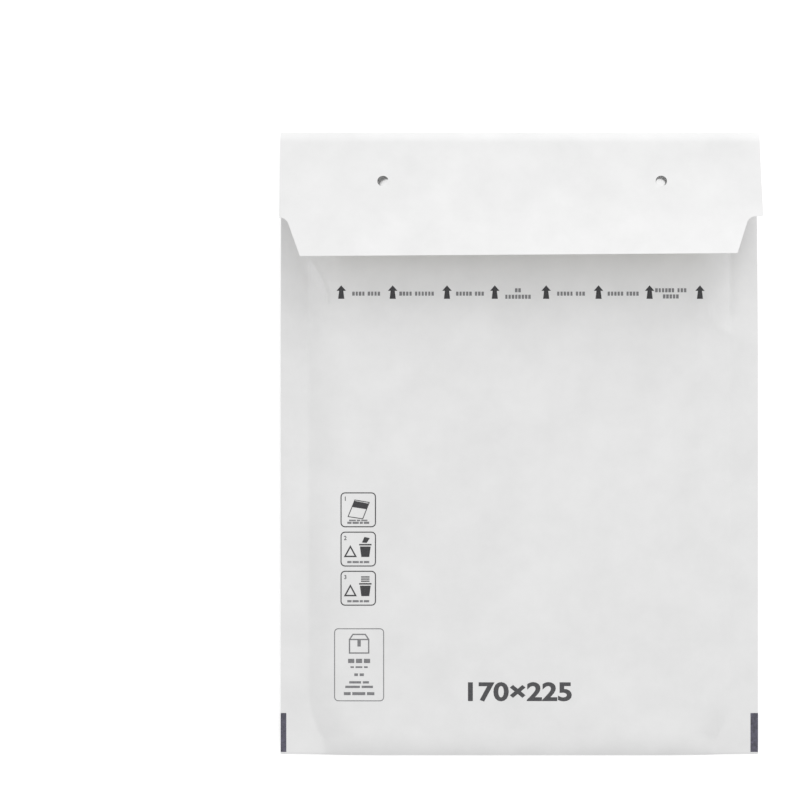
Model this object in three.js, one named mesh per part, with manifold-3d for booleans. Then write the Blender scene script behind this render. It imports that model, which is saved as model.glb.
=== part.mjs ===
// A padded envelope lying on its back, flap folded over the front and standing a little open.
// Millimetres, +Z up, +Y towards the flap's fold, the back panel on the table at Z = 0.
import * as THREE from 'three';
import { mergeVertices } from 'three/addons/utils/BufferGeometryUtils.js';
import Module from 'manifold-3d';

const wasm = await Module();
wasm.setup();

// The pouch as it lies.
const envelopeWidth = 170;
const envelopeLength = 222;
const padThickness = 7.8;
const mouthThickness = 6.8;
const mouthDrop = 8;
const mouthSinkRun = 47;

// Paper, film and the side seals that hold both panels together.
const paperThickness = 0.15;
const filmClearance = 0.15;
const liningWall = 2.6;
const liningTrim = 0.6;
const liningSetBack = 2.5;
const liningEndAngle = 70;
const sealWidth = 10;
const sealThickness = 0.8;
const sealHeight = 3.6;
const sealHeightAtTop = 0.5;
const sealSinkRun = 73;
const shoulderRun = 13;

// The folded bottom and its flattened corners.
const bottomFoldRun = 8;
const sealFoldRun = 1;
const cornerInset = 9;
const cornerReach = 24;

// The slit between the two walls of the lining, open at the mouth.
const slitSideMargin = 3;
const slitBottomMargin = 12;

// The flap: its fold, its curve and its cut outline, measured along the paper from the fold.
const foldLowerRadius = 3.5;
const foldUpperRadius = 5;
const flapLength = 50;
const flapStartAngle = 10;
const flapEndAngle = 27.4;
const flapEndTwist = 3.6;
const flapShoulder = 35;
const shoulderStep = 3.8;
const shoulderFillet = 3.4;
const shoulderRound = 0.7;
const shoulderDrop = 0.02;
const flapEndWidth = 152.2;
const flapCutOffset = -1.3;

// Two knock-out discs in the flap, pushed in and still held at one side.
const knockoutSpacing = 98.2;
const knockoutOffset = 0.6;
const knockoutDistance = 21.3;
const knockoutDiameter = 4;
const knockoutSlit = 0.12;
const knockoutTilt = 34;
const knockoutHingeAngle = 58;
const hingeOverlap = 0.2;
const knockoutSides = 28;
const cutterHeight = 2;

// The paper strip that covers the flap's adhesive.
const linerLength = 148;
const linerStart = 35.5;
const linerEnd = 47.5;
const linerThickness = 0.1;
const adhesiveThickness = 0.1;

const halfWidth = envelopeWidth / 2;
const halfLength = envelopeLength / 2;
const sealInner = halfWidth - sealWidth;
const flatHalf = sealInner - shoulderRun;
const mouthY = halfLength - mouthDrop;
const { clamp, lerp, smoothstep, degToRad } = THREE.MathUtils;

const evenSteps = (from, to, count) =>
  Array.from({ length: count + 1 }, (_, i) => lerp(from, to, i / count));

// 0 on the flat side seal, 1 on the flat of the pad.
function padShare(x, y) {
  const corner = clamp(1 - (y + halfLength) / cornerReach, 0, 1);
  const run = sealInner - Math.abs(x) - cornerInset * corner * corner;
  return Math.sin((Math.PI / 2) * clamp(run / shoulderRun, 0, 1));
}

const sealLevel = (y) =>
  lerp(sealHeight, sealHeightAtTop, smoothstep(y, mouthY - sealSinkRun, mouthY));

const thicknessAt = (y) =>
  lerp(padThickness, mouthThickness, smoothstep(y, mouthY - mouthSinkRun, mouthY));

// Outer faces of the two panels.
function frontHeight(x, y) {
  return lerp(sealLevel(y) + sealThickness / 2, thicknessAt(y), padShare(x, y));
}

function backHeight(x, y) {
  return lerp(Math.max(sealLevel(y) - sealThickness / 2, 0), 0, padShare(x, y));
}

const foldRun = (x) => lerp(sealFoldRun, bottomFoldRun, padShare(x, 0));

const panelY = (x, share) => lerp(mouthY, -halfLength + foldRun(x), share);

// A panel's face, moved into the pouch by depth and set back from its shoulders.
function facePoint(x, y, isFront, depth, setBack = 0) {
  const at = x + Math.sign(x) * setBack;
  const z = isFront ? frontHeight(at, y) - depth : backHeight(at, y) + depth;
  return new THREE.Vector3(x, y, z);
}

// The round of the bottom fold: angle 0 is on the front panel, PI on the back panel.
function bottomFoldPoint(x, angle, depth, setBack = 0) {
  const run = foldRun(x);
  const y = -halfLength + run;
  const front = facePoint(x, y, true, depth, setBack).z;
  const back = facePoint(x, y, false, depth, setBack).z;
  const z = (front + back) / 2 + ((front - back) / 2) * Math.cos(angle);
  return new THREE.Vector3(x, y - (run - depth) * Math.sin(angle), z);
}

// The flap's cut edge: half its width and the middle of it, at a distance from the fold.
const slantStart = halfWidth - shoulderStep;
const slantLength = flapLength - flapShoulder;
const slant = Math.atan2(slantStart - flapEndWidth / 2, slantLength);
const filletTurn = Math.PI / 2 - slant;
const filletBack = shoulderFillet * Math.tan(filletTurn / 2);

function flapOutline() {
  const outline = [{ distance: 0, half: halfWidth, middle: 0 }];
  for (const turn of evenSteps(0, Math.PI / 2, 3)) {
    outline.push({
      distance: flapShoulder - shoulderRound * (1 - Math.sin(turn)),
      half: halfWidth - shoulderRound * (1 - Math.cos(turn)),
      middle: 0,
    });
  }
  for (const turn of evenSteps(0, filletTurn, 5)) {
    outline.push({
      distance: flapShoulder + shoulderDrop + shoulderFillet * (1 - Math.cos(turn)),
      half: slantStart + filletBack - shoulderFillet * Math.sin(turn),
      middle: flapCutOffset,
    });
  }
  outline.push({ distance: flapLength, half: flapEndWidth / 2, middle: flapCutOffset });
  return outline;
}

const outline = flapOutline();

// Where a column of the sheet, counted across the full width, lies on the cut flap.
function flapColumn(x, distance) {
  const next = Math.max(1, outline.findIndex((point) => point.distance >= distance - 1e-9));
  const [a, b] = [outline[next - 1], outline[next]];
  const share = clamp((distance - a.distance) / (b.distance - a.distance), 0, 1);
  return lerp(a.middle, b.middle, share) + (x * lerp(a.half, b.half, share)) / halfWidth;
}

// The flap's curve, measured along the paper from the outermost line of the fold.
const startAngle = degToRad(flapStartAngle);
const foldTurn = Math.PI / 2 - startAngle;
const foldArc = foldUpperRadius * foldTurn;
const foldLevel = foldLowerRadius + paperThickness / 2;
const backTop = halfLength - foldLevel;

function flapAngle(x, distance) {
  const end = degToRad(flapEndAngle + (flapEndTwist * x) / halfWidth);
  return lerp(startAngle, end, (distance - foldArc) / (flapLength - foldArc));
}

function flapPoint(x, distance) {
  const turn = Math.min(distance / foldUpperRadius, foldTurn);
  const y = halfLength - paperThickness / 2 - foldUpperRadius * (1 - Math.cos(turn));
  const z = foldLevel + foldUpperRadius * Math.sin(turn);
  if (distance <= foldArc) {
    return new THREE.Vector3(x, y, z);
  }
  const angle = flapAngle(x, distance);
  const radius = (distance - foldArc) / (angle - startAngle);
  return new THREE.Vector3(
    x,
    y - radius * (Math.sin(angle) - Math.sin(startAngle)),
    z + radius * (Math.cos(startAngle) - Math.cos(angle)),
  );
}

function flapFoldPoint(x, turn) {
  const back = backHeight(x, backTop) + paperThickness / 2;
  return new THREE.Vector3(
    x,
    backTop + foldLowerRadius * Math.sin(turn),
    lerp(back, foldLevel, 1 - Math.cos(turn)),
  );
}

// A flat sheet of columns by rows, bent by place(column, row, upper).
function bentSheet(columns, rows, place) {
  const geometry = new THREE.BoxGeometry(1, 1, 1, columns - 1, rows - 1, 1);
  geometry.deleteAttribute('normal');
  geometry.deleteAttribute('uv');
  const position = geometry.getAttribute('position');
  for (let i = 0; i < position.count; i += 1) {
    const column = Math.round((position.getX(i) + 0.5) * (columns - 1));
    const row = Math.round((position.getY(i) + 0.5) * (rows - 1));
    const point = place(column, row, position.getZ(i) > 0);
    position.setXYZ(i, point.x, point.y, point.z);
  }
  return mergeVertices(geometry, 1e-4);
}

// The two faces of a sheet, each at its own distance along the normal into the pouch.
function thickenGrid(grid, above, below) {
  const rows = grid.length;
  const columns = grid[0].length;
  const normalAt = (row, column) => {
    const across = grid[row][Math.min(column + 1, columns - 1)].clone();
    across.sub(grid[row][Math.max(column - 1, 0)]);
    const along = grid[Math.min(row + 1, rows - 1)][column].clone();
    along.sub(grid[Math.max(row - 1, 0)][column]);
    return across.cross(along).normalize();
  };
  return bentSheet(columns, rows, (column, row, upper) =>
    grid[row][column].clone().addScaledVector(normalAt(row, column), upper ? above : below),
  );
}

function toManifold(geometry) {
  const mesh = new wasm.Mesh({
    numProp: 3,
    vertProperties: new Float32Array(geometry.getAttribute('position').array),
    triVerts: new Uint32Array(geometry.index.array),
  });
  return new wasm.Manifold(mesh);
}

function fromManifold(solid) {
  const mesh = solid.getMesh();
  const geometry = new THREE.BufferGeometry();
  geometry.setAttribute('position', new THREE.BufferAttribute(mesh.vertProperties, 3));
  geometry.setIndex(new THREE.BufferAttribute(mesh.triVerts, 1));
  return geometry;
}

// Columns across the width and rows along the panels, closer together where the paper bends.
const halfColumns = [
  ...evenSteps(0, flatHalf, 3),
  ...evenSteps(flatHalf, sealInner, 6).slice(1),
  ...evenSteps(sealInner, halfWidth, 2).slice(1),
];
const columns = [...halfColumns.slice(1).reverse().map((x) => -x), ...halfColumns];
const slitShares = [...evenSteps(0, 0.36, 8).slice(1), 0.5, 0.7, 0.86, 0.92];
const panelShares = [0, ...slitShares, 0.96, 1];
const foldAngles = evenSteps(0, Math.PI, 8).slice(1, -1);

function paperGrid() {
  const inset = paperThickness / 2;
  const flapRows = [
    ...evenSteps(0, foldArc, 6),
    ...evenSteps(foldArc, flapShoulder - shoulderRound, 4).slice(1, -1),
    ...outline.slice(1, -1).map((point) => point.distance),
    (flapShoulder + shoulderFillet + flapLength) / 2,
    flapLength,
  ];
  const line = (point) => columns.map(point);
  return [
    ...panelShares.map((f) => line((x) => facePoint(x, panelY(x, f), true, inset))),
    ...foldAngles.map((angle) => line((x) => bottomFoldPoint(x, angle, inset))),
    ...panelShares.map((f) => line((x) => facePoint(x, panelY(x, f), false, inset))).reverse(),
    line((x) => facePoint(x, backTop, false, inset)),
    ...evenSteps(0, Math.PI / 2, 4)
      .slice(1, -1)
      .map((turn) => line((x) => flapFoldPoint(x, turn))),
    ...flapRows.map((distance) => line((x) => flapPoint(flapColumn(x, distance), distance))),
  ];
}

// A round plate standing on the flap: the cutter of a knock-out, or the disc itself.
function flapPlate(x, radius, thickness, shift, tilt) {
  const angle = flapAngle(x, knockoutDistance);
  const hinge = Math.atan2(
    -Math.sin(degToRad(knockoutHingeAngle)),
    -Math.sign(x) * Math.cos(degToRad(knockoutHingeAngle)),
  );
  const plate = new THREE.CylinderGeometry(radius, radius, thickness, knockoutSides);
  plate.deleteAttribute('normal');
  plate.deleteAttribute('uv');
  plate.rotateX(Math.PI / 2);
  plate.translate(-radius, 0, 0);
  plate.rotateY(-tilt);
  plate.translate(knockoutDiameter / 2 + shift, 0, 0);
  plate.rotateZ(hinge);
  plate.rotateX(-angle);
  const centre = flapPoint(x, knockoutDistance);
  plate.translate(centre.x, centre.y, centre.z);
  return toManifold(mergeVertices(plate, 1e-4));
}

function paperGeometry() {
  const sheet = thickenGrid(paperGrid(), paperThickness / 2, -paperThickness / 2);
  const radius = knockoutDiameter / 2;
  let paper = toManifold(sheet);
  for (const side of [-1, 1]) {
    const x = knockoutOffset + (side * knockoutSpacing) / 2;
    paper = paper.subtract(flapPlate(x, radius, cutterHeight, 0, 0));
    const tilt = degToRad(knockoutTilt);
    const disc = flapPlate(x, radius - knockoutSlit, paperThickness, hingeOverlap, tilt);
    paper = paper.add(disc);
  }
  return fromManifold(paper);
}

// The lining fills the pouch up to the paper and is cut open by the slit.
const liningFace = (x, y, isFront) =>
  facePoint(x, y, isFront, paperThickness + filmClearance, liningSetBack);

function liningGeometry() {
  const depth = paperThickness + filmClearance;
  const ends = foldAngles.filter((angle) => angle < degToRad(liningEndAngle));
  const side = halfWidth - liningTrim;
  const across = columns.map((x) => clamp(x, -side, side));
  const rows = panelShares.length + ends.length;
  const outer = bentSheet(columns.length, rows, (column, row, upper) => {
    const x = across[column];
    const end = row - panelShares.length;
    if (end >= 0) {
      return bottomFoldPoint(x, upper ? Math.PI - ends[end] : ends[end], depth, liningSetBack);
    }
    const y = row === 0 ? mouthY - liningTrim : panelY(x, panelShares[row]);
    return liningFace(x, y, !upper);
  });
  const slitColumns = columns.filter((x) => Math.abs(x) <= sealInner);
  const slitRows = [mouthY + cutterHeight, ...slitShares, -halfLength + slitBottomMargin];
  const openShare = 1 - liningWall / (padThickness / 2 - depth);
  const slit = bentSheet(slitColumns.length, slitRows.length, (column, row, upper) => {
    const x = (slitColumns[column] * (sealInner - slitSideMargin)) / sealInner;
    const isEnd = row === 0 || row === slitRows.length - 1;
    const y = isEnd ? slitRows[row] : panelY(slitColumns[column], slitRows[row]);
    const front = liningFace(x, y, true).z;
    const back = liningFace(x, y, false).z;
    const half = (openShare * (front - back)) / 2;
    return new THREE.Vector3(x, y, (front + back) / 2 + (upper ? -half : half));
  });
  return fromManifold(toManifold(outer).subtract(toManifold(slit)));
}

function linerGeometry() {
  const across = evenSteps(
    flapCutOffset - linerLength / 2,
    flapCutOffset + linerLength / 2,
    12,
  );
  const along = evenSteps(linerStart, linerEnd, 4);
  const grid = along.map((distance) => across.map((x) => flapPoint(x, distance)));
  const under = paperThickness / 2 + adhesiveThickness;
  return thickenGrid(grid, under + linerThickness, under);
}

function addPiece(group, name, geometry, look) {
  const faceted = geometry.toNonIndexed();
  faceted.computeVertexNormals();
  const mesh = new THREE.Mesh(faceted, new THREE.MeshStandardMaterial(look));
  mesh.name = name;
  group.add(mesh);
}

const paddedEnvelope = new THREE.Group();
const whitePaper = { color: 0xebebeb, roughness: 0.62, metalness: 0 };
const clearFilm = { color: 0xd9dee2, roughness: 0.25, metalness: 0 };
const glazedPaper = { color: 0xf2eede, roughness: 0.3, metalness: 0 };
addPiece(paddedEnvelope, 'paper_envelope', paperGeometry(), whitePaper);
addPiece(paddedEnvelope, 'bubble_lining', liningGeometry(), clearFilm);
addPiece(paddedEnvelope, 'release_liner', linerGeometry(), glazedPaper);

export default paddedEnvelope;
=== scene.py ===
import math

import bpy
from mathutils import Matrix, Vector, noise
from mathutils.bvhtree import BVHTree


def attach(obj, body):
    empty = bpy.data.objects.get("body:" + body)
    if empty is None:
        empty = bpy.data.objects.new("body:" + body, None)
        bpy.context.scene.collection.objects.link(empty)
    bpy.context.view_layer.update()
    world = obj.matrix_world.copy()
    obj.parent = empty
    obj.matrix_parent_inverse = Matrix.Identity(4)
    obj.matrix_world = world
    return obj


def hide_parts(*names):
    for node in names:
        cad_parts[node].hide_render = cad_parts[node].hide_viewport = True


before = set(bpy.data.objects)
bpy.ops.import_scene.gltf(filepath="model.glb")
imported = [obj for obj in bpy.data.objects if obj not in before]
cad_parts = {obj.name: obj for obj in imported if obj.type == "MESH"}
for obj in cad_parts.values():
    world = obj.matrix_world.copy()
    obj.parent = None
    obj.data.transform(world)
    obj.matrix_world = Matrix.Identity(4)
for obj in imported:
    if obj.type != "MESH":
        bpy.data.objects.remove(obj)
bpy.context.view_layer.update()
mm = 0.001

scene = bpy.context.scene
scene.view_settings.view_transform = "Standard"


# small sums used all over
def mix(a, b, t):
    return a + (b - a) * t


def clamp(value, low=0.0, high=1.0):
    return max(low, min(high, value))


def smooth(value, low, high):
    t = clamp((value - low) / (high - low))
    return t * t * (3 - 2 * t)


def evenSteps(start, stop, step):
    count = max(1, round(abs(stop - start) / step))
    return [mix(start, stop, i / count) for i in range(count + 1)]


def linear(hexColour):
    channels = [int(hexColour[i:i + 2], 16) / 255 for i in (1, 3, 5)]
    return [c / 12.92 if c <= 0.04045 else ((c + 0.055) / 1.055) ** 2.4 for c in channels] + [1.0]


# one node with its settings, its typed values and the links that come into it
def addNode(tree, kind, settings=None, values=None, links=None):
    node = tree.nodes.new(kind)
    for key, value in (settings or {}).items():
        setattr(node, key, value)
    for key, value in (values or {}).items():
        node.inputs[key].default_value = value
    for key, (source, output) in (links or {}).items():
        tree.links.new(source.outputs[output], node.inputs[key])
    return node


def newObject(name, points, faces, material=None):
    mesh = bpy.data.meshes.new(name)
    mesh.from_pydata([[c * mm for c in p] for p in points], [], faces)
    mesh.update()
    piece = bpy.data.objects.new(name, mesh)
    scene.collection.objects.link(piece)
    if material:
        mesh.materials.append(material)
    return piece


def smoothShade(piece):
    for face in piece.data.polygons:
        face.use_smooth = True


crispAngle = 50   # degrees, edges sharper than this aren't smoothed


# gives a sheet its thickness for good and keeps the cut edges crisp
def thicken(piece, thickness):
    smoothShade(piece)
    wall = piece.modifiers.new("thickness", "SOLIDIFY")
    wall.thickness = thickness * mm
    wall.offset = 0
    graph = bpy.context.evaluated_depsgraph_get()
    mesh = bpy.data.meshes.new_from_object(piece.evaluated_get(graph))
    piece.modifiers.clear()
    piece.data = mesh
    mesh.name = piece.name
    mesh.set_sharp_from_angle(angle=math.radians(crispAngle))


# materials

# a new material with its node tree, its shader and the object's own coordinates
def newMaterial(name):
    material = bpy.data.materials.new(name)
    material.use_nodes = True
    tree = material.node_tree
    return material, tree, tree.nodes["Principled BSDF"], addNode(tree, "ShaderNodeTexCoord")


def addNoise(tree, where, size, detail, roughness=0.5):
    return addNode(
        tree, "ShaderNodeTexNoise",
        values={"Scale": 1 / (size * mm), "Detail": detail, "Roughness": roughness},
        links={"Vector": (where, "Object")},
    )


# a noise becomes two colours that blend between two of its levels
def tint(tree, shader, noiseNode, levels, colours):
    ramp = addNode(tree, "ShaderNodeValToRGB", links={"Fac": (noiseNode, "Fac")})
    for stop, level, colour in zip(ramp.color_ramp.elements, levels, colours):
        stop.position = level
        stop.color = linear(colour)
    tree.links.new(ramp.outputs["Color"], shader.inputs["Base Color"])


# the same noise makes the surface duller and glossier in turn
def varyGloss(tree, shader, noiseNode, roughness, levels=(0, 1)):
    gloss = addNode(
        tree, "ShaderNodeMapRange",
        values={"From Min": levels[0], "From Max": levels[1],
                "To Min": roughness[0], "To Max": roughness[1]},
        links={"Value": (noiseNode, "Fac")},
    )
    tree.links.new(gloss.outputs["Result"], shader.inputs["Roughness"])


# White machine-glazed kraft, calendered on the outside: a dull white with cloudy fibre
# formation and a faint tooth
paperLook = {
    "colours": ("#E6E6E6", "#ECECEC"), "levels": (0.32, 0.68),
    "cloudSize": 16,      # mm, clumps of fibre seen against the light
    "fibreSize": 1.1,     # mm, drawn coarser than real fibres so that it shows
    "fibreLevels": (0.3, 0.7),
    "toothDepth": 0.006,  # mm
    "toothStrength": 0.5,
    "roughness": (0.54, 0.66), "ior": 1.5, "specular": 0.3,
}


def makePaper():
    look = paperLook
    material, tree, shader, where = newMaterial("white_kraft_paper")
    clouds = addNoise(tree, where, look["cloudSize"], 4, 0.6)
    fibres = addNoise(tree, where, look["fibreSize"], 3, 0.7)
    tint(tree, shader, clouds, look["levels"], look["colours"])
    varyGloss(tree, shader, fibres, look["roughness"], look["fibreLevels"])
    tooth = addNode(
        tree, "ShaderNodeBump",
        values={"Strength": look["toothStrength"], "Distance": look["toothDepth"] * mm},
        links={"Height": (fibres, "Fac")},
    )
    tree.links.new(tooth.outputs["Normal"], shader.inputs["Normal"])
    shader.inputs["IOR"].default_value = look["ior"]
    shader.inputs["Specular IOR Level"].default_value = look["specular"]
    return material


# Low-density polyethylene, blown and vacuum formed: clear, slightly blue where it doubles,
# with soft broad highlights
filmLook = {
    "colours": ("#D3DBDF", "#E4EAEC"), "levels": (0.35, 0.65),
    "cloudSize": 9, "roughness": (0.17, 0.3), "ior": 1.51, "clearness": 0.35,
}


def makeFilm():
    look = filmLook
    material, tree, shader, where = newMaterial("polyethylene_bubble_film")
    haze = addNoise(tree, where, look["cloudSize"], 2)
    tint(tree, shader, haze, look["levels"], look["colours"])
    varyGloss(tree, shader, haze, look["roughness"])
    shader.inputs["IOR"].default_value = look["ior"]
    shader.inputs["Transmission Weight"].default_value = look["clearness"]
    return material


# Silicone-coated glassine: smooth, a little yellow, glossier than the paper that it covers
glassineLook = {
    "colours": ("#ECE8DC", "#F3F1EA"), "levels": (0.35, 0.65),
    "cloudSize": 5, "roughness": (0.27, 0.37), "ior": 1.45,
}


def makeGlassine():
    look = glassineLook
    material, tree, shader, where = newMaterial("silicone_glassine")
    clouds = addNoise(tree, where, look["cloudSize"], 3)
    tint(tree, shader, clouds, look["levels"], look["colours"])
    varyGloss(tree, shader, clouds, look["roughness"])
    shader.inputs["IOR"].default_value = look["ior"]
    return material


# Water-based flexographic ink: matt dark grey that sinks into the paper unevenly
inkLook = {"levels": (0.35, 0.7), "roughness": (0.62, 0.78), "specular": 0.25}
inks = {
    "print": {"name": "grey_flexo_ink", "colours": ("#3E3E40", "#4C4C4E"), "grain": 0.5},
    "size": {"name": "size_flexo_ink", "colours": ("#4C4C4E", "#5A5A5C"), "grain": 0.6},
    "fine": {"name": "fine_flexo_ink", "colours": ("#7A7A7C", "#8E8E90"), "grain": 0.5},
    "edge": {"name": "register_mark_ink", "colours": ("#4F4E56", "#6A6878"), "grain": 0.9},
}


def makeInk(kind):
    material, tree, shader, where = newMaterial(inks[kind]["name"])
    mottle = addNoise(tree, where, inks[kind]["grain"], 3, 0.6)
    tint(tree, shader, mottle, inkLook["levels"], inks[kind]["colours"])
    varyGloss(tree, shader, mottle, inkLook["roughness"])
    shader.inputs["Specular IOR Level"].default_value = inkLook["specular"]
    return material


paperSkin = makePaper()
filmSkin = makeFilm()
glassineSkin = makeGlassine()
printInk = makeInk("print")
sizeInk = makeInk("size")
fineInk = makeInk("fine")
edgeInk = makeInk("edge")
print("materials ready")


# the pouch's surface, as the solids have it

pouch = {
    "width": 170, "length": 222,
    "padThickness": 7.8, "mouthThickness": 6.8, "mouthDrop": 8, "mouthSinkRun": 47,
    "paper": 0.15,
    "sealWidth": 10, "sealThickness": 0.8, "sealHeight": 3.6, "sealHeightAtTop": 0.5,
    "sealSinkRun": 73, "shoulderRun": 13,
    "bottomFoldRun": 8, "sealFoldRun": 1, "cornerInset": 9, "cornerReach": 24,
    "bottomFullness": 0.7,  # below 1 the padding fills the fold out
    "cornerLift": 0.5,      # the bottom edge draws up towards its corners
    "liftFrom": 45, "liftStart": 95, "liftFull": 110,   # across, and down the panel
    "cloudHeight": 0.09, "cloudSize": 19,
    "rippleHeight": 0.025, "rippleSize": 6.5, "rippleShift": (7, 3, 5),
    "reliefEnd": -104, "reliefFull": -94,   # the relief dies out at the bottom fold
}
halfWidth = pouch["width"] / 2
halfLength = pouch["length"] / 2
sealInner = halfWidth - pouch["sealWidth"]
mouthY = halfLength - pouch["mouthDrop"]

# soft folds in the front panel: points along the fold, its height and half its width
creaseReach = 3   # in half widths, nothing is left of a fold beyond this
creases = [
    {"points": [(-73.8, 65), (-71.9, 61.3), (-69.6, 57.6), (-68.5, 53.6), (-68.2, 50.6)],
     "height": 0.85, "spread": 0.75},
    {"points": [(-72.2, 65.4), (-70.3, 62), (-68, 57.9)], "height": 0.4, "spread": 1.6},
    {"points": [(-77, 64), (-74.6, 58), (-73.6, 50), (-73.4, 40)], "height": -0.4, "spread": 1.7},
    {"points": [(66.5, 50.5), (68.3, 44.7), (71.2, 41.5), (75, 39.5)],
     "height": 0.4, "spread": 1.2},
    {"points": [(75.6, 70), (75.3, 56), (75, 46)], "height": -0.45, "spread": 1.3},
]


def padShare(x, y):
    corner = clamp(1 - (y + halfLength) / pouch["cornerReach"])
    run = sealInner - abs(x) - pouch["cornerInset"] * corner * corner
    return math.sin(math.pi / 2 * clamp(run / pouch["shoulderRun"]))


def sealLevel(y):
    share = smooth(y, mouthY - pouch["sealSinkRun"], mouthY)
    return mix(pouch["sealHeight"], pouch["sealHeightAtTop"], share)


def thicknessAt(y):
    share = smooth(y, mouthY - pouch["mouthSinkRun"], mouthY)
    return mix(pouch["padThickness"], pouch["mouthThickness"], share)


def frontHeight(x, y):
    return mix(sealLevel(y) + pouch["sealThickness"] / 2, thicknessAt(y), padShare(x, y))


def backHeight(x, y):
    return mix(max(sealLevel(y) - pouch["sealThickness"] / 2, 0), 0, padShare(x, y))


def foldRun(x):
    return mix(pouch["sealFoldRun"], pouch["bottomFoldRun"], padShare(x, 0))


def distanceToFold(x, y, points):
    best = math.inf
    for (ax, ay), (bx, by) in zip(points, points[1:]):
        dx, dy = bx - ax, by - ay
        t = clamp(((x - ax) * dx + (y - ay) * dy) / (dx * dx + dy * dy))
        best = min(best, math.hypot(x - ax - t * dx, y - ay - t * dy))
    return best


def creaseHeight(x, y):
    height = 0
    for crease in creases:
        reach = distanceToFold(x, y, crease["points"]) / crease["spread"]
        if reach < creaseReach:
            height += crease["height"] * math.exp(-reach * reach)
    return height


# what the front panel does beyond the plain form: folds, slack and cloudiness
def relief(x, y):
    height = creaseHeight(x, y)
    spot = Vector((x, y, 0))
    cloud = noise.noise(spot / pouch["cloudSize"]) * pouch["cloudHeight"]
    rippleSpot = spot / pouch["rippleSize"] + Vector(pouch["rippleShift"])
    ripple = noise.noise(rippleSpot) * pouch["rippleHeight"]
    height += (cloud + ripple) * padShare(x, y)
    return height * smooth(y, pouch["reliefEnd"], pouch["reliefFull"])


def panelY(x, share):
    return mix(mouthY, -halfLength + foldRun(x), share)


def facePoint(x, y, isFront, depth):
    lift = pouch["cornerLift"] * smooth(abs(x), pouch["liftFrom"], halfWidth)
    lift *= smooth(-y, pouch["liftStart"], pouch["liftFull"])
    if isFront:
        return Vector((x, y + lift, frontHeight(x, y) - depth + relief(x, y)))
    sealed = (1 - padShare(x, y)) ** 2   # in the seal all layers bend together
    return Vector((x, y + lift, backHeight(x, y) + depth + creaseHeight(x, y) * sealed))


def bottomFoldPoint(x, angle, depth):
    run = foldRun(x)
    y = -halfLength + run
    front = facePoint(x, y, True, depth)
    back = facePoint(x, y, False, depth)
    bulge = math.copysign(abs(math.cos(angle)) ** pouch["bottomFullness"], math.cos(angle))
    z = mix(back.z, front.z, (1 + bulge) / 2)
    return Vector((x, front.y - (run - depth) * math.sin(angle), z))


# the flap's surface

flap = {
    "lowerRadius": 3.5, "upperRadius": 5, "length": 50,
    "startAngle": 10, "endAngle": 27.4, "endTwist": 3.6,
    "shoulder": 35, "shoulderStep": 3.8, "shoulderFillet": 3.4, "shoulderRound": 0.7,
    "shoulderDrop": 0.02, "endWidth": 152.2, "cutOffset": -1.3,
    "roundSteps": 4, "filletSteps": 10,
    "stillColumns": 60,   # columns nearer the middle than this keep their place in the cut part
    "cloudLayer": 40, "cloudFadeRun": 6,
}
knockouts = {
    "across": {-1: -48.5, 1: 49.7}, "distance": 21.3, "radius": 2, "block": 3,
    "hingeAngle": {-1: 48, 1: 122},   # degrees from +x towards the flap's end
    "hingeHalf": {-1: 66, 1: 27},     # the left one is creased across its middle
    "tilt": {-1: 42, 1: 19},
    "gap": {-1: 0.75, 1: 0.8},        # widest part of the open crescent
}
startAngle = math.radians(flap["startAngle"])
foldTurn = math.pi / 2 - startAngle
foldArc = flap["upperRadius"] * foldTurn
foldLevel = flap["lowerRadius"] + pouch["paper"] / 2
backTop = halfLength - foldLevel


def flapOutline():
    slantStart = halfWidth - flap["shoulderStep"]
    slantLength = flap["length"] - flap["shoulder"]
    slant = math.atan2(slantStart - flap["endWidth"] / 2, slantLength)
    filletTurn = math.pi / 2 - slant
    filletBack = flap["shoulderFillet"] * math.tan(filletTurn / 2)
    points = [(0, halfWidth, 0)]
    for i in range(flap["roundSteps"] + 1):
        turn = math.pi / 2 * i / flap["roundSteps"]
        points.append((
            flap["shoulder"] - flap["shoulderRound"] * (1 - math.sin(turn)),
            halfWidth - flap["shoulderRound"] * (1 - math.cos(turn)), 0))
    for i in range(flap["filletSteps"] + 1):
        turn = filletTurn * i / flap["filletSteps"]
        points.append((
            flap["shoulder"] + flap["shoulderDrop"]
            + flap["shoulderFillet"] * (1 - math.cos(turn)),
            slantStart + filletBack - flap["shoulderFillet"] * math.sin(turn),
            flap["cutOffset"]))
    points.append((flap["length"], flap["endWidth"] / 2, flap["cutOffset"]))
    return points


cutOutline = flapOutline()


def flapColumn(x, distance):
    still = flap["stillColumns"]
    if abs(x) <= still:
        return x
    half, middle = cutOutline[-1][1:]
    for (d0, h0, m0), (d1, h1, m1) in zip(cutOutline, cutOutline[1:]):
        if distance <= d1 + 1e-9:
            t = clamp((distance - d0) / (d1 - d0))
            half, middle = mix(h0, h1, t), mix(m0, m1, t)
            break
    side = math.copysign(1, x)
    limit = half + side * middle
    return side * mix(still, limit, (abs(x) - still) / (halfWidth - still))


def flapPoint(x, distance):
    turn = min(distance / flap["upperRadius"], foldTurn)
    y = halfLength - pouch["paper"] / 2 - flap["upperRadius"] * (1 - math.cos(turn))
    z = foldLevel + flap["upperRadius"] * math.sin(turn)
    if distance <= foldArc:
        return Vector((x, y, z))
    end = math.radians(flap["endAngle"] + flap["endTwist"] * x / halfWidth)
    angle = mix(startAngle, end, (distance - foldArc) / (flap["length"] - foldArc))
    radius = (distance - foldArc) / (angle - startAngle)
    spot = Vector((x, distance, flap["cloudLayer"]))
    cloud = noise.noise(spot / pouch["cloudSize"]) * pouch["cloudHeight"]
    cloud *= smooth(distance, foldArc, foldArc + flap["cloudFadeRun"])
    return Vector((
        x,
        y - radius * (math.sin(angle) - math.sin(startAngle)),
        z + radius * (math.cos(startAngle) - math.cos(angle)) + cloud))


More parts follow.
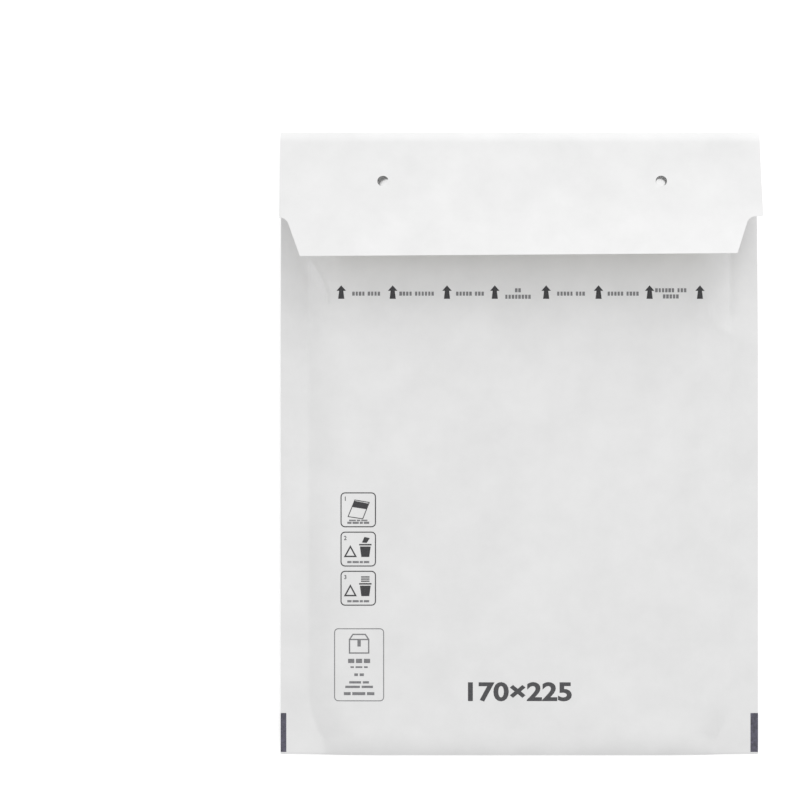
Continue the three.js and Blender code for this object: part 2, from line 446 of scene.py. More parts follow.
def flapFoldPoint(x, turn):
    back = backHeight(x, backTop) + pouch["paper"] / 2
    return Vector((
        x,
        backTop + flap["lowerRadius"] * math.sin(turn),
        mix(back, foldLevel, 1 - math.cos(turn))))


# the paper: one web from the mouth round the bottom and up to the flap's free edge

# spacing of the web's rows and columns, close where it bends
webSteps = {
    "middle": 2.1, "block": 1, "flat": 2, "shoulder": 0.6, "shoulderPast": 2, "seal": 1.6,
    "front": [(38, 1.3), (-84, 2.6)], "frontEnd": 1.0,   # down to this y at this spacing
    "back": [(30, 4), (-80, 5)], "backEnd": 1.6,
    "bottomTurns": 14, "foldTurns": 6, "foldArc": 0.6, "flap": 1.1,
}


def halfColumns(punched):
    near, far = punched - knockouts["block"], punched + knockouts["block"]
    flat, shoulderEnd = sealInner - pouch["shoulderRun"], sealInner + webSteps["shoulderPast"]
    half = evenSteps(0, near, webSteps["middle"])
    half += evenSteps(near, far, webSteps["block"])[1:]
    half += evenSteps(far, flat, webSteps["flat"])[1:]
    half += evenSteps(flat, shoulderEnd, webSteps["shoulder"])[1:]
    half += evenSteps(shoulderEnd, halfWidth, webSteps["seal"])[1:]
    return half


def webColumns():
    left = halfColumns(-knockouts["across"][-1])
    return [-x for x in reversed(left[1:])] + halfColumns(knockouts["across"][1])


def panelShares(stretches, endStep):
    bottom = panelY(0, 1)
    shares, start = [0], mouthY
    for stop, step in stretches + [(bottom, endStep)]:
        shares += [(y - mouthY) / (bottom - mouthY) for y in evenSteps(start, stop, step)[1:]]
        start = stop
    return shares


def flapRows():
    near = knockouts["distance"] - knockouts["block"]
    far = knockouts["distance"] + knockouts["block"]
    shoulder, lastCut = cutOutline[1][0], cutOutline[-2][0]
    rows = evenSteps(0, foldArc, webSteps["foldArc"])
    rows += evenSteps(foldArc, near, webSteps["flap"])[1:]
    rows += evenSteps(near, far, webSteps["block"])[1:]
    rows += evenSteps(far, shoulder, webSteps["flap"])[1:]
    rows += [distance for distance, half, middle in cutOutline[2:-1]]
    rows += evenSteps(lastCut, flap["length"], webSteps["flap"])[1:]
    return rows


def webGrid(columns, depth):
    frontShares = panelShares(webSteps["front"], webSteps["frontEnd"])
    backShares = panelShares(webSteps["back"], webSteps["backEnd"])
    count = webSteps["bottomTurns"]
    turns = [math.pi * i / count for i in range(1, count)]
    rows = [[facePoint(x, panelY(x, s), True, depth) for x in columns] for s in frontShares]
    rows += [[bottomFoldPoint(x, turn, depth) for x in columns] for turn in turns]
    rows += [[facePoint(x, panelY(x, s), False, depth) for x in columns]
             for s in reversed(backShares)]
    return rows


def gridFaces(rows, columns):
    faces = []
    for r in range(rows - 1):
        for c in range(columns - 1):
            a = r * columns + c
            faces.append((a, a + columns, a + columns + 1, a + 1))
    return faces


# a half-punched disc: ring of faces from the square block to the hole, and the disc on its hinge
def punchOut(points, faces, ring, side):
    centreX = knockouts["across"][side]
    hinge, hingeHalf = knockouts["hingeAngle"][side], knockouts["hingeHalf"][side]
    count = len(ring)
    angles = [-135 + 360 * i / count for i in range(count)]   # from the block's first corner

    def onFlap(angle, radius):
        turn = math.radians(angle)
        return flapPoint(centreX + radius * math.cos(turn),
                         knockouts["distance"] + radius * math.sin(turn))

    hole = []
    for angle in angles:
        hole.append(len(points))
        points.append(onFlap(angle, knockouts["radius"]))
    for i in range(count):
        j = (i + 1) % count
        faces.append((ring[j], ring[i], hole[i], hole[j]))

    def fromHinge(angle):
        return (angle - hinge + 180) % 360 - 180

    held = [i for i in range(count) if abs(fromHinge(angles[i])) <= hingeHalf]
    held.sort(key=lambda i: fromHinge(angles[i]))
    start, stop = points[hole[held[0]]], points[hole[held[-1]]]
    tilt = math.radians(knockouts["tilt"][side])
    turned = Matrix.Rotation(tilt, 4, (stop - start).normalized())
    if (turned @ (onFlap(hinge + 180, knockouts["radius"]) - start) + start).z > start.z:
        turned = Matrix.Rotation(-tilt, 4, (stop - start).normalized())

    def bent(spot):
        return turned @ (spot - start) + start

    middle = len(points)
    points.append(bent(flapPoint(centreX, knockouts["distance"])))
    disc = []
    for i in range(count):
        if i in held:
            disc.append(hole[i])
            continue
        disc.append(len(points))
        away = knockouts["gap"][side] * (1 - math.cos(math.radians(fromHinge(angles[i])))) / 2
        points.append(bent(onFlap(angles[i], knockouts["radius"] - away)))
    for i in range(count):
        faces.append((disc[(i + 1) % count], disc[i], middle))


def makePaperWeb():
    columns = webColumns()
    width = len(columns)
    rows = webGrid(columns, pouch["paper"] / 2)
    rows.append([facePoint(x, backTop, False, pouch["paper"] / 2) for x in columns])
    foldTurns = webSteps["foldTurns"]
    for i in range(1, foldTurns):
        rows.append([flapFoldPoint(x, math.pi / 2 * i / foldTurns) for x in columns])
    firstFlap = len(rows)
    distances = flapRows()
    rows += [[flapPoint(flapColumn(x, d), d) for x in columns] for d in distances]
    length = sum((b[width // 2] - a[width // 2]).length for a, b in zip(rows, rows[1:]))
    points = [p for row in rows for p in row]

    block = knockouts["block"]
    blocks = {}
    for side in (-1, 1):
        left = knockouts["across"][side] - block
        near = knockouts["distance"] - block
        c0 = min(range(width), key=lambda c: abs(columns[c] - left))
        r0 = firstFlap + min(range(len(distances)), key=lambda r: abs(distances[r] - near))
        blocks[side] = (r0, c0)
    cells = round(2 * block / webSteps["block"])
    faces = []
    for r in range(len(rows) - 1):
        for c in range(width - 1):
            if any(r0 <= r < r0 + cells and c0 <= c < c0 + cells for r0, c0 in blocks.values()):
                continue
            a = r * width + c
            faces.append((a, a + width, a + width + 1, a + 1))
    for side, (r0, c0) in blocks.items():
        spots = [(r0, c0 + i) for i in range(cells)]
        spots += [(r0 + i, c0 + cells) for i in range(cells)]
        spots += [(r0 + cells, c0 + cells - i) for i in range(cells)]
        spots += [(r0 + cells - i, c0) for i in range(cells)]
        punchOut(points, faces, [r * width + c for r, c in spots], side)
    piece = newObject("envelope_paper", points, faces, paperSkin)
    thicken(piece, pouch["paper"])
    return piece, length


paper, webLength = makePaperWeb()
print("paper web", round(webLength, 1), "mm long")


# release liner under the flap

linerStrip = {
    "length": 148, "start": 35.5, "end": 47.5, "thickness": 0.1, "adhesive": 0.1,
    "acrossStep": 2, "alongStep": 1,
    "nudge": 0.1,   # how far off the flap's slope is felt
}


def makeLiner():
    half = linerStrip["length"] / 2
    across = evenSteps(flap["cutOffset"] - half, flap["cutOffset"] + half,
                       linerStrip["acrossStep"])
    along = evenSteps(linerStrip["start"], linerStrip["end"], linerStrip["alongStep"])
    nudge = linerStrip["nudge"]
    under = pouch["paper"] / 2 + linerStrip["adhesive"] + linerStrip["thickness"] / 2
    points = []
    for d in along:
        for x in across:
            here = flapPoint(x, d)
            side = flapPoint(x + nudge, d) - here
            down = flapPoint(x, d + nudge) - here
            points.append(here + side.cross(down).normalized() * under)
    piece = newObject("liner_strip", points, gridFaces(len(along), len(across)), glassineSkin)
    thicken(piece, linerStrip["thickness"])
    return piece


liner = makeLiner()
print("release liner on")


# bubble film: a thin web inside the paper with the bubbles facing each other

lining = {
    "depth": 0.33, "film": 0.06, "trim": 0.6, "mouth": 102.4,
    "pitch": 11, "bubbleWidth": 9.6, "bubbleHeight": 2.2, "sides": 12,
    "profile": [(1.0, 0.0), (0.97, 0.45), (0.8, 0.82), (0.45, 0.97)],   # spread and rise
    "fieldWidth": 112, "fieldLength": 190, "fieldMiddle": 1,
    "fill": 0.5,
}


def makeFilmWeb():
    side = halfWidth - lining["trim"]
    columns = [clamp(x, -side, side) for x in webColumns()]
    rows = webGrid(columns, lining["depth"])
    for row in rows:
        for p in row:
            p.y = min(p.y, lining["mouth"])
    points = [p for row in rows for p in row]
    piece = newObject("lining_film", points, gridFaces(len(rows), len(columns)), filmSkin)
    thicken(piece, lining["film"])
    return piece


# one bubble: a low dome with a closed flat base, few faces because hundreds are laid
def makeBubble():
    sides, width, height = lining["sides"], lining["bubbleWidth"], lining["bubbleHeight"]
    rings = lining["profile"]
    points = []
    for spread, rise in rings:
        for i in range(sides):
            turn = 2 * math.pi * i / sides
            points.append((width / 2 * spread * math.cos(turn),
                           width / 2 * spread * math.sin(turn), height * rise))
    points.append((0, 0, height))
    top = len(points) - 1
    faces = [tuple(reversed(range(sides)))]
    for ring in range(len(rings) - 1):
        for i in range(sides):
            a, b = ring * sides + i, ring * sides + (i + 1) % sides
            faces.append((a, b, b + sides, a + sides))
    last = (len(rings) - 1) * sides
    faces += [(last + i, last + (i + 1) % sides, top) for i in range(sides)]
    piece = newObject("bubble", points, faces, filmSkin)
    smoothShade(piece)
    return piece


def newTree(name, inputs):
    tree = bpy.data.node_groups.new(name, "GeometryNodeTree")
    tree.interface.new_socket("Geometry", in_out="INPUT", socket_type="NodeSocketGeometry")
    for label, kind in inputs:
        tree.interface.new_socket(label, in_out="INPUT", socket_type=kind)
    tree.interface.new_socket("Geometry", in_out="OUTPUT", socket_type="NodeSocketGeometry")
    return tree, addNode(tree, "NodeGroupInput")


# rows of points in a staggered field, dropped on the film and given a bubble each
def bubbleTree():
    tree, given = newTree("bubbleField", [
        ("Film", "NodeSocketObject"), ("Bubble", "NodeSocketObject"),
        ("Across", "NodeSocketFloat"), ("Along", "NodeSocketFloat"),
        ("Columns", "NodeSocketInt"), ("Rows", "NodeSocketInt"),
        ("Stagger", "NodeSocketFloat"), ("Middle", "NodeSocketFloat"),
        ("Towards", "NodeSocketVector"), ("Turn", "NodeSocketVector"),
        ("Level", "NodeSocketFloat"), ("Skin", "NodeSocketMaterial")])
    field = addNode(tree, "GeometryNodeMeshGrid", links={
        "Size X": (given, "Across"), "Size Y": (given, "Along"),
        "Vertices X": (given, "Columns"), "Vertices Y": (given, "Rows")})
    index = addNode(tree, "GeometryNodeInputIndex")
    odd = addNode(tree, "ShaderNodeMath", {"operation": "FLOORED_MODULO"}, {1: 2.0},
                  {0: (index, "Index")})
    shift = addNode(tree, "ShaderNodeMath", {"operation": "MULTIPLY"},
                    links={0: (odd, "Value"), 1: (given, "Stagger")})
    offset = addNode(tree, "ShaderNodeCombineXYZ", links={"Z": (given, "Level")})
    along = addNode(tree, "ShaderNodeMath", {"operation": "ADD"},
                    links={0: (given, "Middle"), 1: (shift, "Value")})
    tree.links.new(along.outputs["Value"], offset.inputs["Y"])
    placed = addNode(tree, "GeometryNodeSetPosition",
                     links={"Geometry": (field, "Mesh"), "Offset": (offset, "Vector")})
    film = addNode(tree, "GeometryNodeObjectInfo", links={"Object": (given, "Film")})
    drop = addNode(tree, "GeometryNodeRaycast", links={
        "Target Geometry": (film, "Geometry"), "Ray Direction": (given, "Towards")})
    onFilm = addNode(tree, "GeometryNodeSetPosition", links={
        "Geometry": (placed, "Geometry"), "Selection": (drop, "Is Hit"),
        "Position": (drop, "Hit Position")})
    bubble = addNode(tree, "GeometryNodeObjectInfo", links={"Object": (given, "Bubble")})
    laid = addNode(tree, "GeometryNodeInstanceOnPoints", links={
        "Points": (onFilm, "Geometry"), "Instance": (bubble, "Geometry"),
        "Rotation": (given, "Turn")})
    real = addNode(tree, "GeometryNodeRealizeInstances", links={"Geometry": (laid, "Instances")})
    skin = addNode(tree, "GeometryNodeSetMaterial", links={
        "Geometry": (real, "Geometry"), "Material": (given, "Skin")})
    addNode(tree, "NodeGroupOutput", links={"Geometry": (skin, "Geometry")})
    return tree


# runs a tree on a carrier object and keeps the result as a plain mesh
def bakeTree(name, tree, values, carrierPoints=()):
    carrier = newObject(name, carrierPoints, [])
    nodes = carrier.modifiers.new("nodes", "NODES")
    nodes.node_group = tree
    sockets = {item.name: item.identifier for item in tree.interface.items_tree
               if item.in_out == "INPUT"}
    for label, value in values.items():
        nodes[sockets[label]] = value
    graph = bpy.context.evaluated_depsgraph_get()
    mesh = bpy.data.meshes.new_from_object(carrier.evaluated_get(graph))
    mesh.name = name
    carrier.modifiers.remove(nodes)
    carrier.data = mesh
    return carrier


def layBubbles(film):
    bubble = makeBubble()
    tree = bubbleTree()
    pitch = lining["pitch"]
    step = pitch * math.sqrt(3) / 2
    columns = int(lining["fieldWidth"] / step) + 1
    rows = int(lining["fieldLength"] / pitch) + 1
    parts = []
    for name, up in (("front_bubbles", 1), ("back_bubbles", -1)):
        parts.append(bakeTree(name, tree, {
            "Film": film, "Bubble": bubble,
            "Across": (columns - 1) * step * mm, "Along": (rows - 1) * pitch * mm,
            "Columns": columns, "Rows": rows,
            "Stagger": pitch / 2 * mm, "Middle": (lining["fieldMiddle"] - pitch / 4) * mm,
            "Towards": (0, 0, up), "Turn": (math.pi if up > 0 else 0, 0, 0),
            "Level": pouch["padThickness"] / 2 * mm, "Skin": filmSkin}))
    bpy.data.objects.remove(bubble)
    return parts


def joined(name, pieces):
    with bpy.context.temp_override(active_object=pieces[0], selected_editable_objects=pieces):
        bpy.ops.object.join()
    pieces[0].name = name
    pieces[0].data.name = name
    return pieces[0]


film = makeFilmWeb()
bubbleParts = layBubbles(film)
film = joined("lining_film", [film] + bubbleParts)
print("bubble film", len(film.data.polygons), "faces")


# print: flat shapes in millimetres, laid on the paper and given a skin of ink

bpy.context.view_layer.update()
paperTree = BVHTree.FromObject(paper, bpy.context.evaluated_depsgraph_get())
ink = {"bottom": 0.012, "top": 0.032}   # mm above the paper
rayStart = 0.1                          # m, higher than all of the paper


def paperLevel(x, y):
    hit = paperTree.ray_cast(Vector((x * mm, y * mm, rayStart)), Vector((0, 0, -1)))[0]
    return hit.z / mm


class Stencil:
    mitreLimit = 0.5
    cornerSteps = 6    # parts of a rounded corner
    longestRun = 2     # mm, longer runs of a frame are split so that they bend with the paper
    shortest = 1e-6

    def __init__(self):
        self.spots, self.faces = [], []

    def shape(self, outline):
        first = len(self.spots)
        self.spots += outline
        self.faces.append(tuple(range(first, first + len(outline))))

    # rows of (y, half width), as a strip that can bend with the paper
    def taper(self, rows, parts=4):
        first = len(self.spots)
        (y0, h0), (y1, h1) = rows
        for k in range(parts + 1):
            y, half = mix(y0, y1, k / parts), mix(h0, h1, k / parts)
            self.spots += [(-half, y), (0, y), (half, y)]
        for k in range(parts):
            a = first + 3 * k
            self.faces += [(a, a + 1, a + 4, a + 3), (a + 1, a + 2, a + 5, a + 4)]

    def bar(self, x0, y0, x1, y1):
        self.shape([(x0, y0), (x1, y0), (x1, y1), (x0, y1)])

    # a line of even width along points, mitred at its corners
    def line(self, path, width, closed=False):
        first, count = len(self.spots), len(path)
        for i, (x, y) in enumerate(path):
            before = path[i - 1] if i or closed else path[i]
            after = path[(i + 1) % count] if i + 1 < count or closed else path[i]
            a = Vector((x - before[0], y - before[1]))
            b = Vector((after[0] - x, after[1] - y))
            a = a.normalized() if a.length > self.shortest else b.normalized()
            b = b.normalized() if b.length > self.shortest else a
            normal = (Vector((-a.y, a.x)) + Vector((-b.y, b.x))).normalized()
            half = width / 2 / max(self.mitreLimit, normal.dot(Vector((-a.y, a.x))))
            self.spots += [(x + normal.x * half, y + normal.y * half),
                           (x - normal.x * half, y - normal.y * half)]
        for i in range(count if closed else count - 1):
            a, b = first + 2 * i, first + 2 * ((i + 1) % count)
            self.faces.append((a, a + 1, b + 1, b))

    def frame(self, x, y, width, height, radius, stroke):
        path = []
        for cx, cy, start in ((1, 1, 0), (-1, 1, 90), (-1, -1, 180), (1, -1, 270)):
            for i in range(self.cornerSteps + 1):
                turn = math.radians(start + 90 * i / self.cornerSteps)
                path.append((x + cx * (width / 2 - radius) + radius * math.cos(turn),
                             y + cy * (height / 2 - radius) + radius * math.sin(turn)))
        full = []
        for (ax, ay), (bx, by) in zip(path, path[1:] + path[:1]):
            parts = max(1, round(math.hypot(bx - ax, by - ay) / self.longestRun))
            full += [(mix(ax, bx, k / parts), mix(ay, by, k / parts)) for k in range(parts)]
        self.line(full, stroke, closed=True)

    # plain digits from the built-in font, fitted to a box
    def digits(self, text, x, y, height, width=None, embolden=0):
        curve = bpy.data.curves.new("digits", "FONT")
        curve.body = text
        curve.offset = embolden
        curve.resolution_u = 4
        holder = bpy.data.objects.new("digits", curve)
        scene.collection.objects.link(holder)
        graph = bpy.context.evaluated_depsgraph_get()
        mesh = bpy.data.meshes.new_from_object(holder.evaluated_get(graph))
        bpy.data.objects.remove(holder)
        xs = [v.co.x for v in mesh.vertices]
        ys = [v.co.y for v in mesh.vertices]
        tall = height / (max(ys) - min(ys))
        wide = width / (max(xs) - min(xs)) if width else tall
        first = len(self.spots)
        middle = (max(xs) + min(xs)) / 2
        self.spots += [(x + (v.co.x - middle) * wide, y + (v.co.y - min(ys)) * tall)
                       for v in mesh.vertices]
        self.faces += [tuple(first + i for i in face.vertices) for face in mesh.polygons]

    def printed(self, name, material):
        levels = [paperLevel(x, y) for x, y in self.spots]
        return self.plate(name, levels, ink["top"], ink["bottom"], material)

    # closed thin plate over the given levels
    def plate(self, name, levels, top, bottom, material=None):
        count = len(self.spots)
        points = [(x, y, z + top) for (x, y), z in zip(self.spots, levels)]
        points += [(x, y, z + bottom) for (x, y), z in zip(self.spots, levels)]
        upper = []
        for face in self.faces:
            area = sum(self.spots[a][0] * self.spots[b][1] - self.spots[b][0] * self.spots[a][1]
                       for a, b in zip(face, face[1:] + face[:1]))
            upper.append(face if area > 0 else tuple(reversed(face)))
        edges = {(a, b) for face in upper for a, b in zip(face, face[1:] + face[:1])}
        sides = [(b, a, a + count, b + count) for a, b in sorted(edges) if (b, a) not in edges]
        lower = [tuple(i + count for i in reversed(face)) for face in upper]
        return newObject(name, points, upper + lower + sides, material)


# arrow row and its words

arrowRow = {
    "places": [-63.34, -45.09, -25.84, -8.9, 9.32, 27.89, 46.0, 63.86],
    "apex": 56.18, "headBase": 54.3, "stemBase": 51.47,
    "headHalf": 1.68, "neckHalf": 0.74, "stemHalf": 1.08, "apexHalf": 0.05,
}
# words between the arrows: middle, line level, number of letters in each word
wordRow = [
    (-54.5, 53.3, (4, 4)), (-36.6, 53.3, (4, 6)), (-17.7, 53.3, (5, 3)),
    (-0.7, 54.5, (2,)), (-0.7, 52.2, (8,)), (18.1, 53.3, (5, 3)),
    (36.6, 53.3, (5, 4)), (53.5, 54.5, (6, 3)), (53.5, 52.3, (5,)),
]
letter = {"width": 0.94, "height": 1.42, "pitch": 1.17, "space": 0.8, "seed": 4,
          "narrowest": 0.72}


# points take a stamp each, and the stamps follow the paper under them
def stampTree():
    tree, given = newTree("stampRow", [
        ("Paper", "NodeSocketObject"), ("Stamp", "NodeSocketObject"),
        ("Narrowest", "NodeSocketFloat"), ("Seed", "NodeSocketInt"),
        ("Lift", "NodeSocketFloat"), ("Ink", "NodeSocketMaterial")])
    stamp = addNode(tree, "GeometryNodeObjectInfo", links={"Object": (given, "Stamp")})
    vary = addNode(tree, "FunctionNodeRandomValue", {"data_type": "FLOAT"}, {3: 1.0},
                   {2: (given, "Narrowest"), "Seed": (given, "Seed")})
    size = addNode(tree, "ShaderNodeCombineXYZ", values={"Y": 1.0, "Z": 1.0})
    tree.links.new(vary.outputs[1], size.inputs["X"])
    laid = addNode(tree, "GeometryNodeInstanceOnPoints", links={
        "Points": (given, "Geometry"), "Instance": (stamp, "Geometry"), "Scale": (size, "Vector")})
    real = addNode(tree, "GeometryNodeRealizeInstances", links={"Geometry": (laid, "Instances")})
    sheet = addNode(tree, "GeometryNodeObjectInfo", links={"Object": (given, "Paper")})
    here = addNode(tree, "GeometryNodeInputPosition")
    above = addNode(tree, "ShaderNodeVectorMath", {"operation": "ADD"}, {1: (0, 0, rayStart)},
                    {0: (here, "Position")})
    drop = addNode(tree, "GeometryNodeRaycast", values={"Ray Direction": (0, 0, -1)}, links={
        "Target Geometry": (sheet, "Geometry"), "Source Position": (above, "Vector")})
    fall = addNode(tree, "ShaderNodeSeparateXYZ", links={"Vector": (drop, "Hit Position")})
    rise = addNode(tree, "ShaderNodeMath", {"operation": "ADD"},
                   links={0: (fall, "Z"), 1: (given, "Lift")})
    offset = addNode(tree, "ShaderNodeCombineXYZ", links={"Z": (rise, "Value")})
    onPaper = addNode(tree, "GeometryNodeSetPosition", links={
        "Geometry": (real, "Geometry"), "Offset": (offset, "Vector")})
    inked = addNode(tree, "GeometryNodeSetMaterial", links={
        "Geometry": (onPaper, "Geometry"), "Material": (given, "Ink")})
    addNode(tree, "NodeGroupOutput", links={"Geometry": (inked, "Geometry")})
    return tree


# a stamp lies at the origin and is as thick as the ink
def makeStamp(name, stencil):
    thickness = ink["top"] - ink["bottom"]
    return stencil.plate(name, [0] * len(stencil.spots), thickness, 0)


def printRow():
    tree = stampTree()
    row = arrowRow
    base = row["headBase"]
    shape = Stencil()
    shape.taper([(row["stemBase"] - base, row["stemHalf"]), (0, row["neckHalf"])])
    shape.taper([(0, row["headHalf"]), (row["apex"] - base, row["apexHalf"])])
    arrow = makeStamp("arrowStamp", shape)
    common = {"Paper": paper, "Lift": ink["bottom"] * mm, "Seed": letter["seed"]}
    arrows = bakeTree("opening_arrows", tree,
                      {**common, "Stamp": arrow, "Narrowest": 1.0, "Ink": printInk},
                      [(x, base, 0) for x in row["places"]])
    w, h = letter["width"] / 2, letter["height"] / 2
    shape = Stencil()
    shape.bar(-w, -h, w, h)
    block = makeStamp("letterStamp", shape)
    spots = []
    for middle, level, words in wordRow:
        run = sum(words) * letter["pitch"] + (len(words) - 1) * letter["space"]
        x = middle - run / 2 + letter["pitch"] / 2
        for count in words:
            for i in range(count):
                spots.append((x, level, 0))
                x += letter["pitch"]
            x += letter["space"]
    words = bakeTree("opening_words", tree,
                     {**common, "Stamp": block, "Narrowest": letter["narrowest"],
                      "Ink": fineInk}, spots)
    bpy.data.objects.remove(arrow)
    bpy.data.objects.remove(block)
    return arrows, words


arrows, words = printRow()
print("arrow row laid")


# three sorting frames, a label and the size

# drawings are outlines from the middle of their frame
sortFrames = {
    "x": -57.3, "levels": [-23.33, -37.25, -51.13],
    "width": 12.2, "height": 12, "radius": 1.4, "stroke": 0.36,
    "digit": {"x": -4.6, "y": 3.2, "height": 1.5, "bold": 0.01},
    "words": {"y": -4.6, "lengths": (1.5, 2.2, 1.1, 1.9), "height": 0.75},
    "moreWords": {"y": -3.75, "lengths": (2.4, 1.2, 2.2), "height": 0.5},
    "wordGap": 0.35,
    "sheet": [(-3.6, -2.4), (1.6, -3.2), (3.9, 2.6), (-1.2, 3.5)], "sheetStroke": 0.28,
    "fold": [(-2.2, 1), (3.0, 0.2), (3.7, 2.2), (-1.4, 3.2)],
    "triangle": [(-4.7, -2.6), (-0.9, -2.6), (-2.8, 0.9)], "triangleStroke": 0.5,
    "bin": [(1.1, -2.8), (3.9, -2.8), (4.4, 0.9), (0.6, 0.9)],
    "lid": [(0.3, 1.3), (4.7, 1.3), (4.7, 1.8), (0.3, 1.8)],
    "film": [(1.3, 2.3), (3.0, 2.2), (4.1, 3.9), (2.2, 4.3)],
    "leaf": [(1.0, 2.3), (4.0, 2.3), (4.0, 2.7), (1.0, 2.7)], "leaves": 3, "leafPitch": 0.75,
}
labelFrame = {
    "left": -65.7, "right": -48.3, "top": -65.5, "bottom": -91.05, "radius": 1.3, "stroke": 0.3,
    "parcelDrop": 5.4, "parcelStroke": 0.45,
    "parcel": [(-3.4, -3.2), (3.4, -3.2), (3.4, 1.6), (-3.4, 1.6)],
    "parcelTop": [(-3.4, 1.6), (-2.2, 3.4), (2.2, 3.4), (3.4, 1.6)],
    "tape": [(-0.6, -0.9), (0.6, -0.9), (0.6, 1.4), (-0.6, 1.4)],
    "wordGap": 0.6,
    # small print: level under the top, lengths of the bars and their height
    "rows": [(-11.4, (2.2, 2.2, 2.2), 1.5), (-13.6, (1.2, 2.4, 1.3), 0.6),
             (-16.3, (1.3, 1.5), 0.95), (-19.0, (4.2, 2.2), 0.8),
             (-20.6, (5.2, 4.0), 0.8), (-23.0, (2.4, 4.6, 2.6), 1.05)],
}
sizeMark = {"text": "170×225", "width": 36.8, "height": 6.9, "x": 0, "y": -91.3, "bold": 0.03}


def shifted(outline, x, y):
    return [(x + dx, y + dy) for dx, dy in outline]


def textBars(stencil, x, y, lengths, height, gap):
    start = x - (sum(lengths) + gap * (len(lengths) - 1)) / 2
    for length in lengths:
        stencil.bar(start, y - height / 2, start + length, y + height / 2)
        start += length + gap


def makeSortFrames():
    marks, fine = Stencil(), Stencil()
    given, x = sortFrames, sortFrames["x"]
    digit = given["digit"]

    def wordBars(words, y):
        textBars(fine, x, y + words["y"], words["lengths"], words["height"], given["wordGap"])

    for number, y in enumerate(given["levels"], 1):
        marks.frame(x, y, given["width"], given["height"], given["radius"], given["stroke"])
        marks.digits(str(number), x + digit["x"], y + digit["y"], digit["height"],
                     embolden=digit["bold"])
        wordBars(given["words"], y)
    first, second, third = given["levels"]
    # first: two layers pulled apart
    marks.line(shifted(given["sheet"], x, first), given["sheetStroke"], closed=True)
    marks.shape(shifted(given["fold"], x, first))
    wordBars(given["moreWords"], first)
    # second and third: a triangle beside a bin, with film or with paper over it
    for y in (second, third):
        marks.line(shifted(given["triangle"], x, y), given["triangleStroke"], closed=True)
        marks.shape(shifted(given["bin"], x, y))
        marks.shape(shifted(given["lid"], x, y))
    marks.shape(shifted(given["film"], x, second))
    for k in range(given["leaves"]):
        marks.shape(shifted(given["leaf"], x, third + given["leafPitch"] * k))
    return marks.printed("sorting_frames", printInk), fine.printed("sorting_words", fineInk)


# a plain parcel above its lines of small print
def makeLabel():
    label = Stencil()
    given, top = labelFrame, labelFrame["top"]
    x = (given["left"] + given["right"]) / 2
    label.frame(x, (top + given["bottom"]) / 2, given["right"] - given["left"],
                top - given["bottom"], given["radius"], given["stroke"])
    y = top - given["parcelDrop"]
    label.line(shifted(given["parcel"], x, y), given["parcelStroke"], closed=True)
    label.line(shifted(given["parcelTop"], x, y), given["parcelStroke"])
    label.shape(shifted(given["tape"], x, y))
    for level, lengths, height in given["rows"]:
        textBars(label, x, top + level, lengths, height, given["wordGap"])
    return label.printed("label_frame", fineInk)


def makeSizeMark():
    mark = Stencil()
    mark.digits(sizeMark["text"], sizeMark["x"], sizeMark["y"], sizeMark["height"],
                sizeMark["width"], embolden=sizeMark["bold"])
    return mark.printed("size_figures", sizeInk)


sortMarks, sortWords = makeSortFrames()
label = makeLabel()
sizeFigures = makeSizeMark()
print("print laid on the front")


# register marks that wrap both edges of the bottom seal

edgeMarks = {
    "inner": {-1: -83.0, 1: 82.35}, "top": -95.9, "bottom": -110.45, "step": 0.8,
    "backReach": 1.6, "rimInset": 0.05, "clear": 0.01,
}


# each row has four points on the ink's outside, front to back, then four on its inside
def makeEdgeMarks():
    points, faces = [], []
    along = evenSteps(edgeMarks["top"], edgeMarks["bottom"], edgeMarks["step"])
    for side, inner in edgeMarks["inner"].items():
        outer = side * halfWidth
        back = outer - side * edgeMarks["backReach"]
        edge = outer - side * edgeMarks["rimInset"]
        first = len(points)
        for y in along:
            inside, rim = paperLevel(inner, y), paperLevel(edge, y)
            low = backHeight(outer, y) - edgeMarks["clear"]
            for skin in (ink["top"], ink["bottom"]):
                points += [(inner, y, inside + skin), (outer + side * skin, y, rim + skin),
                           (outer + side * skin, y, low - skin), (back, y, low - skin)]
        quads = []
        for r in range(len(along) - 1):
            a, b = first + 8 * r, first + 8 * (r + 1)
            for k in range(3):
                quads.append((a + k, a + k + 1, b + k + 1, b + k))
                quads.append((a + 4 + k, b + 4 + k, b + 5 + k, a + 5 + k))
            quads += [(a, b, b + 4, a + 4), (a + 3, a + 7, b + 7, b + 3)]
        for a, turn in ((first, 1), (first + 8 * (len(along) - 1), -1)):
            for k in range(3):
                quads.append((a + k, a + 4 + k, a + 5 + k, a + k + 1)[::turn])
        faces += [q if side < 0 else q[::-1] for q in quads]
    return newObject("edge_marks", points, faces, edgeInk)


marksAtEdge = makeEdgeMarks()
print("edge marks on")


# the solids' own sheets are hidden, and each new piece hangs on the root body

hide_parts("paper_envelope")
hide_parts("bubble_lining")
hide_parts("release_liner")
slots = {
    "white_paper": [paper], "bubble_film": [film], "glazed_paper": [liner],
    "print_ink": [arrows, words, sortMarks, sortWords, label, sizeFigures],
    "edge_mark_ink": [marksAtEdge],
}
for slotName, pieces in slots.items():
    for piece in pieces:
        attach(piece, "root")


# floor, light and camera

studio = {
    "floorSize": 6000, "floorGap": 0.3,
    "ambient": 0.82,
    "keyPower": 5.6, "keySize": 900, "keyDistance": 1300, "keyElevation": 27, "keyTurn": 15,
    "floorGlow": 0.5, "floorGrey": "#E8E8E8",
}


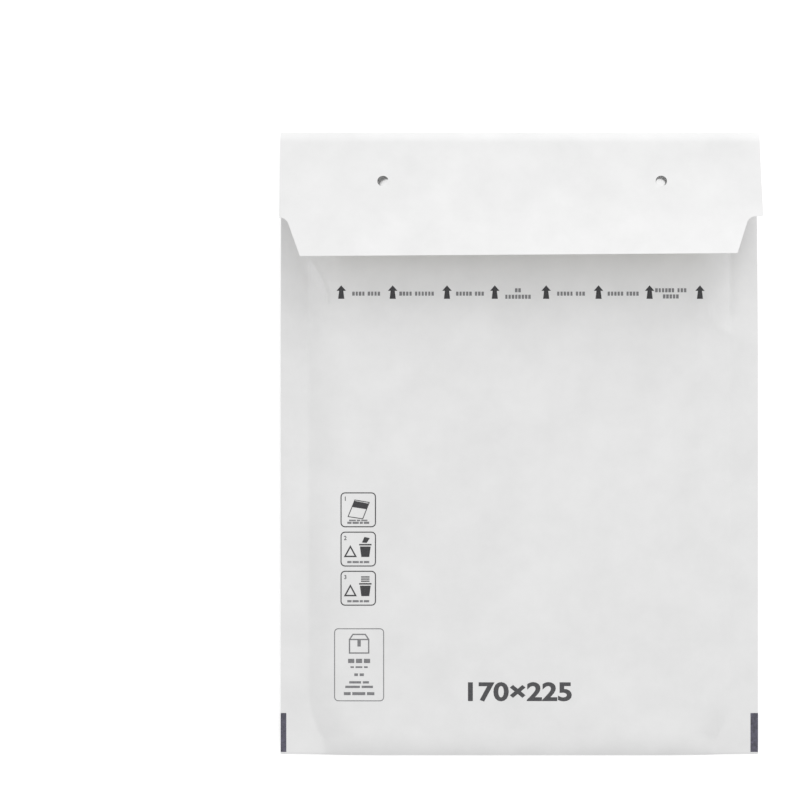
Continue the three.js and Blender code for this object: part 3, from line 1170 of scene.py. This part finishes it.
# 1 for rays that show the background itself, 0 for those that only light the part
def seenDirectly(tree):
    path = addNode(tree, "ShaderNodeLightPath")
    shown = addNode(tree, "ShaderNodeMath", {"operation": "MAXIMUM"},
                    links={0: (path, "Is Camera Ray"), 1: (path, "Is Glossy Ray")})
    return addNode(tree, "ShaderNodeMath", {"operation": "MAXIMUM"},
                   links={0: (shown, "Value"), 1: (path, "Is Transmission Ray")})


def makeFloor():
    half = studio["floorSize"] / 2
    level = -studio["floorGap"]
    floor = newObject("studio_floor", [(-half, -half, level), (half, -half, level),
                                       (half, half, level), (-half, half, level)],
                      [(0, 1, 2, 3)])
    material = bpy.data.materials.new("white_sweep")
    material.use_nodes = True
    tree = material.node_tree
    tree.nodes.clear()
    diffuse = addNode(tree, "ShaderNodeBsdfDiffuse", values={"Color": linear(studio["floorGrey"])})
    glow = addNode(tree, "ShaderNodeEmission", values={"Strength": studio["floorGlow"]})
    both = addNode(tree, "ShaderNodeAddShader", links={0: (diffuse, 0), 1: (glow, 0)})
    seen = seenDirectly(tree)
    blend = addNode(tree, "ShaderNodeMixShader",
                    links={0: (seen, "Value"), 1: (diffuse, 0), 2: (both, 0)})
    addNode(tree, "ShaderNodeOutputMaterial", links={"Surface": (blend, 0)})
    floor.data.materials.append(material)


def makeWorld():
    world = bpy.data.worlds.new("soft_room")
    scene.world = world
    world.use_nodes = True
    tree = world.node_tree
    tree.nodes.clear()
    seen = seenDirectly(tree)
    white = (1, 1, 1, 1)
    room = addNode(tree, "ShaderNodeBackground",
                   values={"Color": white, "Strength": studio["ambient"]})
    sweep = addNode(tree, "ShaderNodeBackground", values={"Color": white, "Strength": 1.0})
    blend = addNode(tree, "ShaderNodeMixShader",
                    links={0: (seen, "Value"), 1: (room, 0), 2: (sweep, 0)})
    addNode(tree, "ShaderNodeOutputWorld", links={"Surface": (blend, 0)})


def makeKey():
    lamp = bpy.data.lights.new("key", "AREA")
    lamp.shape = "DISK"
    lamp.size = studio["keySize"] * mm
    lamp.energy = studio["keyPower"]
    key = bpy.data.objects.new("key", lamp)
    scene.collection.objects.link(key)
    rise, turn = math.radians(studio["keyElevation"]), math.radians(studio["keyTurn"])
    away = Vector((math.sin(turn) * math.cos(rise), math.cos(turn) * math.cos(rise),
                   math.sin(rise)))
    key.location = away * studio["keyDistance"] * mm
    key.rotation_euler = away.to_track_quat("Z", "Y").to_euler()


view = {"x": -42.5, "y": 15.6, "z": 803.5, "lens": 101.0, "sensor": 36, "nearest": 10}


def makeCamera():
    lens = bpy.data.cameras.new("camera")
    lens.lens = view["lens"]
    lens.sensor_width = view["sensor"]
    lens.clip_start = view["nearest"] * mm
    camera = bpy.data.objects.new("camera", lens)
    scene.collection.objects.link(camera)
    camera.location = (view["x"] * mm, view["y"] * mm, view["z"] * mm)
    scene.camera = camera


makeFloor()
makeWorld()
makeKey()
makeCamera()
print("studio ready")

bpy.context.view_layer.update()
